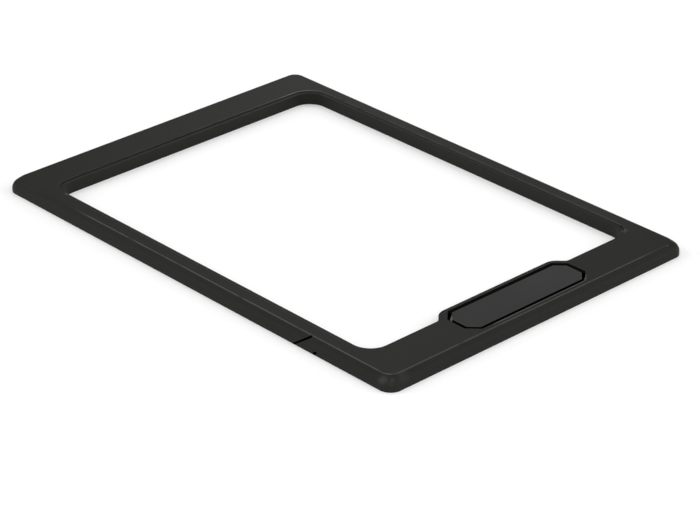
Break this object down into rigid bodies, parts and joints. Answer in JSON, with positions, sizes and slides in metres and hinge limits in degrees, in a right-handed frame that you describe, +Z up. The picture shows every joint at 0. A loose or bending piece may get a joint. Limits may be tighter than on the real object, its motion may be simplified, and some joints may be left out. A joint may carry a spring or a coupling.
{
  "type": "drive height spacer frame",
  "caption": "Thin flat rectangular plastic frame with a sloping outer shoulder, a stepped window and a bare badge field, laid on a slim 2.5-inch drive to make up its height in a taller bay.",
  "frame": {"origin": "middle of the underside, on the face that lies on the drive", "axes": "+X across the drive, +Y along the drive away from the badge rail, +Z up out of the top face"},
  "size_m": [0.0698, 0.1, 0.0025],
  "materials": {
    "black_plastic": "fine matte moulded grain"
  },
  "bodies": {
    "root": {"spacer_frame": "black_plastic"}
  },
  "joints": []
}
